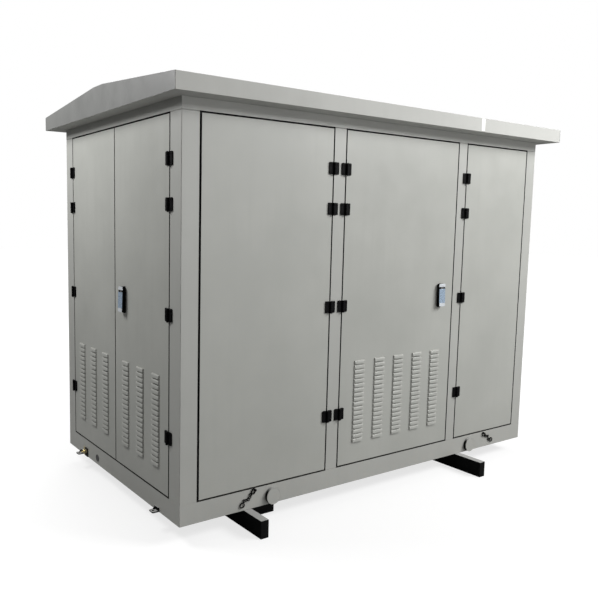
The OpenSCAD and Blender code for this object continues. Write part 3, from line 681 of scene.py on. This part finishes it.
def make_gap_shade_rings():
    """Black trim on every leaf and round every opening, lapping a little over the face: painted shade that
    darkens and widens the gaps.
    """
    openings = []
    for node, hinges, out, columns, lock in DOORS:
        low, high = (Vector(p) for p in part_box(node))
        grown = Vector((TRIM, TRIM, TRIM))
        ring = gap_shade_ring(low - grown, high + grown, out, TRIM + TRIM_LAP, -TRIM_PROUD, 38 * MM)
        if node.endswith("door_far"):
            ring = join([ring, meeting_seal(node, hinges, out)])
        place(ring, node + "_gap_shade_trim", node, SEAL_RUBBER_AND_PAINTED_SHADE)
        left = (WIDE_GAP if node == "front_door_left" else GAP) + TRIM_LAP
        around = GAP + TRIM_LAP
        openings.append((low - Vector((left, around, around)),
                         high + Vector((around, around, around)), out))
    front, ends = openings[:3], openings[3:]
    spans = list(front)
    for near, far in (ends[0:2], ends[2:4]):
        spans.append((near[0], (near[1][0], far[1][1], near[1][2]), near[2]))
    spans += [(low, high, (0, 1, 0)) for low, high, out in front]
    rings = [gap_shade_ring(low, high, out, TRIM + TRIM_LAP, -TRIM_PROUD, 39 * MM)
             for low, high, out in spans]
    place(join(rings), "opening_gap_shade_trim", ENCLOSURE, SEAL_RUBBER_AND_PAINTED_SHADE)


def meeting_seal(node, hinges, out):
    """Bulb seal on the far leaf's free edge, inside the gap between the two leaves; its black is painted
    shade in the gap.
    """
    space, width, z0, z1 = leaf_space(node, hinges, out)
    bulb = block((width - 0.2 * MM, 28 * MM, z0), (width + 3.6 * MM, 35 * MM, z1))
    return copies(soften(bulb, 1.2 * MM, 2), [space])


SCREW_INSET, SCREW_END = 30 * MM, 60 * MM


def make_rear_panels():
    """Three fixed pans with the front doors' outlines, held by screws round the edge."""
    turn = Matrix.Scale(-1, 4, (0, 1, 0))
    pans = []
    for node, hinges, out, columns, lock in DOORS[:3]:
        space, width, z0, z1 = leaf_space(node, hinges, out)
        pan = folded_leaf(width, z0, z1, columns, None)
        screw = soften(turned_bar((0, -1.5 * MM, 0), 8 * MM, 5 * MM, (0, 1, 0), 16), 1.5 * MM, 2)
        heights = [z0 + SCREW_END + k * (z1 - z0 - 2 * SCREW_END) / 5 for k in range(6)]
        sides = (SCREW_INSET, width - SCREW_INSET)
        screws = copies(screw, [shift(x, 0, z) for x in sides for z in heights])
        pans.append(copies(join([pan, screws]), [turn @ space]))
    place(join(pans), "rear_wall_pans", ENCLOSURE, DOOR_PAINT, ["rear_panels"])


# ---- hinges -------------------------------------------------------------------------------------

LEAF_T, KNUCKLE_R, AXIS_OUT, HINGE_H, HINGE_HALF = 8 * MM, 9 * MM, 12 * MM, 75 * MM, 39 * MM


def hinge_half(side, thirds):
    """A cast leaf beside the pin, with its screws and knuckles; side 1 is the door's, -1 the frame's."""
    inner, outer = 10.5 * MM, HINGE_HALF
    leaf = block((inner, -LEAF_T, -HINGE_H / 2), (outer, 0.2 * MM, HINGE_H / 2))
    pick_edges(leaf, lambda a, b: a.x > outer - 1e-5 and b.x > outer - 1e-5 and abs(a.y - b.y) > 1e-4)
    bpy.ops.mesh.bevel(offset=6 * MM, segments=3)
    leave_edit()
    parts = [soften(leaf, 1.2 * MM, 2)]
    for z in (-24 * MM, 24 * MM):
        screw = turned_bar((25 * MM, -LEAF_T, z), 5 * MM, 3 * MM, (0, 1, 0), 16)
        pick_faces(screw, lambda c, n: n.y < -0.9)
        bpy.ops.mesh.inset(thickness=2 * MM)
        bpy.ops.mesh.extrude_region_move(TRANSFORM_OT_translate={"value": (0, 1.4 * MM, 0)})
        leave_edit()
        parts.append(screw)
    third = HINGE_H / 3
    for k in thirds:
        z = (k - 1) * third
        knuckle = turned_bar((0, -AXIS_OUT, z), KNUCKLE_R, third - 0.6 * MM, (0, 0, 1), 24)
        reach = third / 2 - 0.3 * MM
        web = block((4 * MM, -9 * MM, z - reach), (12 * MM, -4 * MM, z + reach))
        parts += [soften(knuckle, 1 * MM, 2), soften(web, 0.8 * MM, 1)]
    half = join(parts)
    return half if side > 0 else copies(half, [Matrix.Scale(-1, 4, (1, 0, 0))])


def make_hinges():
    """Four hinges on each leaf: the door's halves ride on it, the frame's halves and pins stay."""
    frame_places = []
    for node, hinges, out, columns, lock in DOORS:
        space = leaf_space(node, hinges, out)[0]
        spots = [space @ shift(-3 * MM, 0, z * MM) for z in HINGE_HEIGHTS]
        frame_places += spots
        place(copies(hinge_half(1, [1]), spots), node + "_hinge_leaves", node, BLACK_CASTING_AND_PAINTED_SHADE,
              [hinges])
    place(copies(hinge_half(-1, [0, 2]), frame_places), "frame_side_hinge_leaves", ENCLOSURE,
          BLACK_CASTING_AND_PAINTED_SHADE, ["frame_hinge_leaves"])
    pin = join([
        soften(turned_bar((0, -AXIS_OUT, -HINGE_H / 2 - 1.4 * MM), 6 * MM, 2.8 * MM, UP, 20), 1 * MM),
        soften(turned_bar((0, -AXIS_OUT, 0), 4 * MM, HINGE_H, UP, 20), 0.6 * MM)])
    place(copies(pin, frame_places), "hinge_pin_set", ENCLOSURE, PIN_STEEL,
          ["hinge_pins"])


# ---- locks --------------------------------------------------------------------------------------

def lock_shell(low, high, round_end, radius):
    """A lock part with its upper or lower corners rounded in the face."""
    shell = block(low, high)
    edge = high[2] if round_end > 0 else low[2]
    pick_edges(shell, lambda a, b: abs(a.y - b.y) > 1e-4 and abs(a.z - edge) < 1e-5)
    bpy.ops.mesh.bevel(offset=radius, segments=6)
    leave_edit()
    return shell


LEVER_WIDE = 66 * MM
LEVER_LONG = 136
LEVER_LEAN = 5 / LEVER_LONG     # the lever's foot stands 5 mm further out than its top


def make_lock(door, hinges, out, key):
    """Swing-lever lock: black base and black grip sides that are painted shade beside the standing lever,
    bright head on the spindle, hanging grip with a pale face and a near-white tip that is a painted
    highlight.
    """
    space, width = leaf_space(door, hinges, out)[:2]
    here = space @ shift(width - LOCK_INSET, 0, LOCK_HEIGHT)
    spindle, lever = "lock_spindle_" + key, "lock_lever_" + key

    # painted shade: the base is black so the strip beside the lever reads as its shadow
    plate = block((-22 * MM, -8 * MM, -136 * MM), (22 * MM, 0, 32 * MM))
    pick_edges(plate, lambda a, b: abs(a.y - b.y) > 1e-4)
    bpy.ops.mesh.bevel(offset=9 * MM, segments=5)
    leave_edit()
    cut(plate, [turned_bar((0, 0, 0), 9.6 * MM, 0.05, (0, 1, 0))])
    place(copies(soften(plate, 1.6 * MM, 3), [here]), "lock_shade_base_" + key, door,
          BLACK_CASTING_AND_PAINTED_SHADE)
    guides = []
    for z in GUIDE_HEIGHTS:
        foot = z - LOCK_HEIGHT
        guide = block((-32 * MM, SHEET, foot), (32 * MM, 22.5 * MM, foot + 24 * MM))
        slots = [block((s * 12 * MM - 10.7 * MM, 12.8 * MM, -1), (s * 12 * MM + 10.7 * MM, 19.2 * MM, 1))
                 for s in (-1, 1)]
        guides.append(soften(cut(guide, slots), 1 * MM, 2))
    place(copies(join(guides), [here]), "rod_guides_" + key, door, ZINC,
          ["lock_plate_" + key])

    half = LEVER_WIDE / 2
    head = lock_shell((-half, -25.4 * MM, 10.5 * MM), (half, -11 * MM, 32 * MM), 1, 12 * MM)
    neck = block((-8 * MM, -24.6 * MM, 4 * MM), (8 * MM, -9.6 * MM, 12 * MM))
    place(copies(join([soften(head, 1 * MM, 2), neck]), [here]), "lock_head_" + key, spindle,
          BLACK_CASTING_AND_PAINTED_SHADE)
    rim = half - 0.6 * MM
    face = lock_shell((-rim, -27.6 * MM, 9.6 * MM), (rim, -25 * MM, 31.8 * MM), 1, 12 * MM)
    place(copies(soften(face, 1 * MM, 3), [here]), "lock_head_face_" + key, spindle,
          BRIGHT_PLATING_AND_TIP_HIGHLIGHT)

    # painted shade: the grip's body and sides are black
    grip = block((-half, -26 * MM, -128 * MM), (half, -11 * MM, 8 * MM))
    pick_edges(grip, lambda a, b: a.z > 7 * MM and b.z > 7 * MM and abs(a.x - b.x) > 1 * MM)
    bpy.ops.mesh.bevel(offset=7.4 * MM, segments=5)
    leave_edit()
    pick_faces(grip, lambda c, n: n.z < -0.9)
    bpy.ops.transform.resize(value=(0.9, 0.9, 1), center_override=(0, -22 * MM, -128 * MM))
    bpy.ops.transform.translate(value=(0, -5 * MM, 0))
    leave_edit()
    foot = -127 * MM
    pick_edges(grip, lambda a, b: a.z < foot and b.z < foot and abs(a.x - b.x) < 1e-5)
    bpy.ops.mesh.bevel(offset=6 * MM, segments=5)
    leave_edit()
    soften(grip, 1.6 * MM, 3, 50)
    cut(grip, [soften(block((-10.5 * MM, -40 * MM, -22 * MM), (10.5 * MM, 0, 20 * MM)), 2 * MM, 2),
               turned_bar((0, -18 * MM, 0), 3.1 * MM, 37 * MM, (1, 0, 0), 24)])
    place(copies(grip, [here]), "lock_grip_" + key, lever, BLACK_CASTING_AND_PAINTED_SHADE,
          ["lock_lever_" + key])
    # painted highlight: the grip's tip gets the near-white plating
    for name, top, foot, corner, plating in (("grip_face", -4, -104, 1, GRIP_PLATING),
                                             ("grip_tip_highlight", -104.5, -127.5, 6, BRIGHT_PLATING_AND_TIP_HIGHLIGHT)):
        rim = half - 1 * MM
        cover = lock_shell((-rim, -28 * MM, foot * MM), (rim, -25.4 * MM, top * MM), -1, corner * MM)
        tilt = Matrix.Translation((0, -LEVER_LEAN * 8 * MM, 0))
        tilt[1][2] = LEVER_LEAN
        taper = 1 - 0.1 * (8 - (top + foot) / 2) / LEVER_LONG
        place(copies(soften(cover, 1 * MM, 3), [here @ tilt @ Matrix.Scale(taper, 4, (1, 0, 0))]),
              "lock_" + name + "_" + key, lever, plating)


# ---- foot of the enclosure ----------------------------------------------------------------------

SKIDS = {-1112.5: 1047, 817.5: 1095}        # the middle of each skid and half its length
SKID_WIDE, SKID_ANCHOR = 55 * MM, 31.5 * MM


def make_skids():
    """Two black channels, closed at their ends and drilled for foundation bolts, and a black block under
    the base that is painted shadow.
    """
    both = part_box("skids")
    channels = []
    for x, half in SKIDS.items():
        low = Vector((x * MM - SKID_WIDE / 2, -half * MM, both[0][2]))
        high = Vector((x * MM + SKID_WIDE / 2, half * MM, both[1][2]))
        web, flange = 8 * MM, 8 * MM
        channel = block(low, high)
        hollow = block((low.x + web, low.y + flange, low.z + flange),
                       (high.x + THROUGH, high.y - flange, high.z - flange))
        pick_edges(hollow, lambda a, b: abs(a.y - b.y) > 1 and a.x < low.x + web + 1e-5
                   and b.x < low.x + web + 1e-5)
        bpy.ops.mesh.bevel(offset=8 * MM, segments=4)
        leave_edit()
        holes = [turned_bar((low.x + SKID_ANCHOR, y, low.z), 11 * MM, 0.05, UP) for y in (-1, 1)]
        channels.append(soften(cut(cut(channel, [hollow]), holes), 2 * MM, 2, 50))
    # the skids' top faces show the black coat's painted highlight
    place(join(channels), "skid_channels", ENCLOSURE, BLACK_PAINT_WITH_PAINTED_SHADE_AND_HIGHLIGHT, ["skids"])
    # painted shadow: a black block under the base where the underbody shadow falls
    low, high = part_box("packing_block")
    shadow_block = soften(block(low, high), 4 * MM, 3)
    place(shadow_block, "black_block_painted_shadow", ENCLOSURE, BLACK_PAINT_WITH_PAINTED_SHADE_AND_HIGHLIGHT, ["packing_block"])


def make_trunnions():
    """Painted end disc with a shallow turned face, its black stop barrel, which is painted shade for the
    disc's shadowed side and the gap behind it, and black shaft.
    """
    for name, low, high in trunnion_places():
        side = -1 if low.y < 0 else 1
        outer = low.y if side < 0 else high.y
        inner = high.y if side < 0 else low.y
        x, z = (low.x + high.x) / 2, (low.z + high.z) / 2
        radius = (high.x - low.x) / 2
        disc = turned_bar((x, outer - side * 2 * MM, z), radius, 4 * MM, (0, 1, 0), 64)
        pick_faces(disc, lambda c, n: n.y * side > 0.9)
        bpy.ops.mesh.inset(thickness=5 * MM)
        bpy.ops.mesh.extrude_region_move(TRANSFORM_OT_translate={"value": (0, -side * 0.8 * MM, 0)})
        bpy.ops.mesh.inset(thickness=1 * MM)
        leave_edit()
        body = "trunnion_" + name
        place(soften(disc, 1 * MM, 3, 50), body + "_disc", body, WALL_PAINT, [body])
        # painted shade: the black barrel behind the disc stands for the disc's shadowed side and the shadow
        # gap against the base
        barrel = turned_bar((x, outer - side * 13.5 * MM, z), radius - 1.5 * MM, 19 * MM, (0, 1, 0), 64)
        soften(barrel, 1.2 * MM, 2)
        start = outer - side * 22 * MM
        shaft = turned_bar((x, (start + inner) / 2, z), 28 * MM, abs(inner - start), (0, 1, 0), 48)
        place(join([barrel, soften(shaft, 3 * MM)]), body + "_shaded_barrel_and_shaft", body, BLACK_PAINT_WITH_PAINTED_SHADE_AND_HIGHLIGHT)


def oval_ring(length, width, wire, turns=14, sides=6):
    """A wire ring longer along x, in the x-z plane."""
    clear_selection()
    bpy.ops.mesh.primitive_torus_add(major_segments=turns, minor_segments=sides, major_radius=width / 2,
                                     minor_radius=wire, rotation=(math.pi / 2, 0, 0))
    ring = settle(bpy.context.object)
    if length > width:
        pick_faces(ring, lambda c, n: c.x > 0)
        bpy.ops.transform.translate(value=((length - width) / 2, 0, 0))
        leave_edit()
    return ring


CHAIN_LEFT, CHAIN_RIGHT = -1063 * MM, 1111 * MM
CHAIN_TOP, CHAIN_FOOT, CHAIN_ACROSS = 222 * MM, 140 * MM, 113 * MM


def make_chain(start, side):
    """Clip loop, a few long links and an end ring, hanging crumpled against the base."""
    face = base_low.y
    top = Vector((start, face - 6 * MM, CHAIN_TOP))
    end = Vector((start - side * CHAIN_ACROSS, face - 6 * MM, CHAIN_FOOT))
    run = (end - top).normalized()
    lean = math.atan2(-run.z, run.x)

    def laid(distance, sideways, turn, roll=0.0):
        offset = run * distance + Vector((-run.z, 0, run.x)) * sideways
        return (Matrix.Translation(top + offset) @ Matrix.Rotation(lean + turn, 4, "Y")
                @ Matrix.Rotation(roll, 4, "X"))

    clip = oval_ring(40 * MM, 24 * MM, 4 * MM, 20, 8)
    parts = [copies(clip, [laid(10 * MM, -7 * MM, -0.5)])]
    ring = oval_ring(34 * MM, 27 * MM, 3.6 * MM, 24, 8)
    parts.append(copies(ring, [laid(119 * MM, 5 * MM, 0.35)]))
    link = oval_ring(21 * MM, 14 * MM, 3.1 * MM, 12, 6)
    bends = (1.1, 0.2, -0.9, 0.5, 1.0)
    aside = (-2, 5, 7, -1, -6)
    spots = [laid((40 + 13.5 * k) * MM, aside[k] * MM, bends[k], 0.3 + 0.9 * (k % 2))
             for k in range(len(bends))]
    parts.append(copies(link, spots))
    knob = turned_bar((top.x, face - 5 * MM, top.z), 8 * MM, 11 * MM, (0, 1, 0), 20)
    parts.append(soften(knob, 2.4 * MM, 3))
    return join(parts)


def make_chains():
    """One chain beside each front trunnion, falling away from it."""
    chains = [make_chain(CHAIN_LEFT, 1), make_chain(CHAIN_RIGHT, -1)]
    place(join(chains), "retaining_chains", ENCLOSURE, BLACK_CASTING_AND_PAINTED_SHADE, ["lifting_chains"])


def at_end(side, y, z):
    """Turns a fitting modelled against the y = 0 plane, facing -y, onto an end rail."""
    turn = Matrix.Rotation(math.radians(-90 if side < 0 else 90), 4, "Z")
    return Matrix.Translation((side * base_high.x, y, z)) @ turn


LUG_ASIDE, STUD_ASIDE, STUD_HEIGHT, CAP_ASIDE, CAP_HEIGHT = 0.6, 0.52, 0.15, 0.318, 0.158


def make_lugs():
    """Small black angles with a bolt hole in the foot and a gusset."""
    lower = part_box("tie_down_lugs")[0][2]
    ear = soften(block((-25 * MM, -8 * MM, 0), (25 * MM, 0, 28 * MM)), 1.4 * MM)
    foot = block((-25 * MM, -44 * MM, 0), (25 * MM, -7 * MM, 8 * MM))
    pick_edges(foot, lambda a, b: a.y < -43 * MM and b.y < -43 * MM and abs(a.z - b.z) > 1e-4)
    bpy.ops.mesh.bevel(offset=8 * MM, segments=4)
    leave_edit()
    cut(foot, [turned_bar((0, -28 * MM, 4 * MM), 7 * MM, 0.05, UP)])
    rib = block((-19 * MM, -24 * MM, 7 * MM), (-13 * MM, -7 * MM, 24 * MM))
    pick_faces(rib, lambda c, n: n.z > 0.9)
    bpy.ops.transform.resize(value=(1, 0.25, 1), center_override=(0, -7 * MM, 24 * MM))
    leave_edit()
    lug = join([ear, soften(foot, 1.2 * MM, 2, 50), soften(rib, 0.8 * MM)])
    spots = [at_end(side, y, lower) for side in (-1, 1) for y in (-LUG_ASIDE, LUG_ASIDE)]
    place(copies(lug, spots), "tie_down_angles", ENCLOSURE, BLACK_PAINT_WITH_PAINTED_SHADE_AND_HIGHLIGHT, ["tie_down_lugs"])


def hexagon_nut(outer, inner):
    """A nut on the stud between two distances from the rail, its corners turned off."""
    middle = (0, -(outer + inner) / 2 * MM, 0)
    nut = turned_bar(middle, 11 * MM, (outer - inner) * MM, (0, 1, 0), 6)
    return soften(nut, 1 * MM, 2)


def make_earth_studs():
    """Washer, two nuts with the upright terminal plate between them, and the threaded stem."""
    washer = soften(turned_bar((0, -7.5 * MM, 0), 15 * MM, 3 * MM, (0, 1, 0), 32), 0.6 * MM)
    plate = block((-9 * MM, -21 * MM, -22 * MM), (9 * MM, -17 * MM, 40 * MM))
    pick_edges(plate, lambda a, b: abs(a.y - b.y) > 1e-4)
    bpy.ops.mesh.bevel(offset=6 * MM, segments=4)
    leave_edit()
    cut(plate, [turned_bar((0, -19 * MM, 29 * MM), 4.5 * MM, 0.02, (0, 1, 0), 24)])
    stem = turned_bar((0, -36 * MM, 0), 5.2 * MM, 14 * MM, (0, 1, 0), 16)
    thread = oval_ring(10.6 * MM, 10.6 * MM, 0.75 * MM, 16, 4)
    threads = copies(thread, [shift(0, -(30.5 + 1.75 * k) * MM, 0) for k in range(7)])
    stud = join([washer, hexagon_nut(17, 9), soften(plate, 0.8 * MM, 2), hexagon_nut(29, 21),
                 soften(stem, 0.8 * MM), threads])
    spots = [at_end(side, -side * STUD_ASIDE, STUD_HEIGHT) for side in (-1, 1)]
    place(copies(stud, spots), "earth_stud_set", ENCLOSURE, BRASS, ["earth_studs"])


def make_end_pads():
    """The black pad under each earth stud, painted shadow where the stud's shadow falls on the rail, and
    the round cover over the spare cable hole.
    """
    # painted shadow: the black pad stands where each earth stud's shadow falls on the rail
    pad = block((-28 * MM, -6 * MM, -38 * MM), (28 * MM, 0, 24 * MM))
    pick_edges(pad, lambda a, b: abs(a.y - b.y) > 1e-4)
    bpy.ops.mesh.bevel(offset=4 * MM, segments=3)
    leave_edit()
    spots = [at_end(side, -side * STUD_ASIDE, STUD_HEIGHT) for side in (-1, 1)]
    place(copies(soften(pad, 1 * MM, 2), spots), "stud_shadow_pad_pair", ENCLOSURE, SEAL_RUBBER_AND_PAINTED_SHADE,
          ["end_pads"])
    cap = turned_bar((0, -1.5 * MM, 0), 25 * MM, 3 * MM, (0, 1, 0), 48)
    pick_faces(cap, lambda c, n: n.y < -0.9)
    bpy.ops.mesh.inset(thickness=5 * MM)
    bpy.ops.mesh.extrude_region_move(TRANSFORM_OT_translate={"value": (0, 1.2 * MM, 0)})
    leave_edit()
    spots = [at_end(side, -side * CAP_ASIDE, CAP_HEIGHT) for side in (-1, 1)]
    place(copies(soften(cap, 0.8 * MM, 2), spots), "cable_hole_covers", ENCLOSURE,
          CAP_PLASTIC)


# ---- build --------------------------------------------------------------------------------------

make_base()
make_header()
make_posts()
make_roof()
make_leaves()
make_gap_shade_rings()
make_rear_panels()
make_hinges()
for door, hinges, out, columns, key in DOORS:
    if key:
        make_lock(door, hinges, out, key)
make_skids()
make_trunnions()
make_chains()
make_lugs()
make_earth_studs()
make_end_pads()

dress(SEAL_RUBBER_AND_PAINTED_SHADE, "door_seals")
dress(WALL_PAINT, "partitions", "floor_plate")
dress(BLACK_PAINT_WITH_PAINTED_SHADE_AND_HIGHLIGHT, "cross_members", "trunnion_sleeves")
dress(TANK_PAINT, "transformer_tank", "tank_radiators")
dress(GLAZE, "tank_bushings")
dress(CABINET_PAINT, "hv_switchgear", "lv_switchboard")
dress(SLEEVE_PAINT, "hv_conductors")
dress(COPPER, "lv_busbars")
for key in ("front", "left", "right"):
    dress(ZINC, "lock_spindle_" + key, "top_rod_" + key, "bottom_rod_" + key)


# ---- stage, camera and lights -------------------------------------------------------------------

def make_stage():
    """A pale floor: its own glow is only for the eye, so the light on the object stays soft."""
    clear_selection()
    bpy.ops.mesh.primitive_plane_add(size=80, location=(0, 0, cad_box[0][2] - 0.5 * MM))
    floor = settle(bpy.context.object)
    floor.name = "studio_floor"
    material = bpy.data.materials.new("pale_floor")
    material.use_nodes = True
    tree = material.node_tree
    shader = tree.nodes["Principled BSDF"]
    shader.inputs["Base Color"].default_value = (0.3, 0.3, 0.3, 1)
    shader.inputs["Roughness"].default_value = 0.9
    shader.inputs["Specular IOR Level"].default_value = 0.0
    spot = tree.nodes.new("ShaderNodeTexCoord")
    reach = tree.nodes.new("ShaderNodeVectorMath")
    reach.operation = "LENGTH"
    tree.links.new(spot.outputs["Object"], reach.inputs[0])
    far_off = spread(tree, reach.outputs["Value"], 1.8, 5.0)
    glow = blend_colours(tree, far_off, (0.74, 0.74, 0.74, 1), (1, 1, 1, 1))
    tree.links.new(glow, shader.inputs["Emission Color"])
    seen = tree.nodes.new("ShaderNodeLightPath")
    tree.links.new(seen.outputs["Is Camera Ray"], shader.inputs["Emission Strength"])
    floor.data.materials.append(material)


def make_camera():
    """Seen from the left of the front, a little above the middle of the doors."""
    right = Vector((0.82996, -0.55761, 0.01502))
    up = Vector((0.04848, 0.09894, 0.99391))
    back = -Vector((0.55571, 0.82418, -0.10915))
    camera = bpy.data.cameras.new("camera")
    camera.sensor_width = 36
    camera.lens = 40.84
    camera.shift_x = 0.1003
    holder = bpy.data.objects.new("camera", camera)
    bpy.context.collection.objects.link(holder)
    spot = Vector((-3.3567, -4.0701, 1.8093))
    holder.matrix_world = Matrix(((right.x, up.x, back.x, spot.x), (right.y, up.y, back.y, spot.y),
                                  (right.z, up.z, back.z, spot.z), (0, 0, 0, 1)))
    bpy.context.scene.camera = holder


def soft_light(name, spot, aim, size, power):
    """A rectangular lamp aimed at a point."""
    lamp = bpy.data.lights.new(name, "AREA")
    lamp.shape = "RECTANGLE"
    lamp.size, lamp.size_y = size
    lamp.energy = power
    holder = bpy.data.objects.new(name, lamp)
    bpy.context.collection.objects.link(holder)
    holder.location = spot
    holder.rotation_euler = (Vector(aim) - Vector(spot)).to_track_quat("-Z", "Y").to_euler()


def make_lights():
    """White to the eye; a dim even fill, a key from the front right, and front, end and rear lights."""
    bpy.context.scene.view_settings.view_transform = "Standard"
    world = bpy.data.worlds.new("studio")
    bpy.context.scene.world = world
    world.use_nodes = True
    tree = world.node_tree
    backdrop = tree.nodes["Background"]
    seen = tree.nodes.new("ShaderNodeLightPath")
    level = tree.nodes.new("ShaderNodeMapRange")
    level.inputs["To Min"].default_value = 0.21
    level.inputs["To Max"].default_value = 1.0
    tree.links.new(seen.outputs["Is Camera Ray"], level.inputs["Value"])
    tree.links.new(level.outputs["Result"], backdrop.inputs["Strength"])
    backdrop.inputs["Color"].default_value = (1, 1, 1, 1)
    soft_light("key_light", (3.4, -4.4, 4.6), (0.3, -0.9, 2.0), (3.5, 2.0), 362)
    soft_light("front_fill", (1.0, -8.0, 1.6), (-0.2, -0.9, 2.2), (6.0, 2.0), 105)
    soft_light("end_light", (-3.5, 1.0, 3.7), (-1.6, 0.3, 2.3), (1.6, 1.2), 92)
    soft_light("rear_light", (1.0, 6.0, 4.6), (0, 0.8, 1.4), (4.0, 2.0), 200)


make_stage()
make_camera()
make_lights()
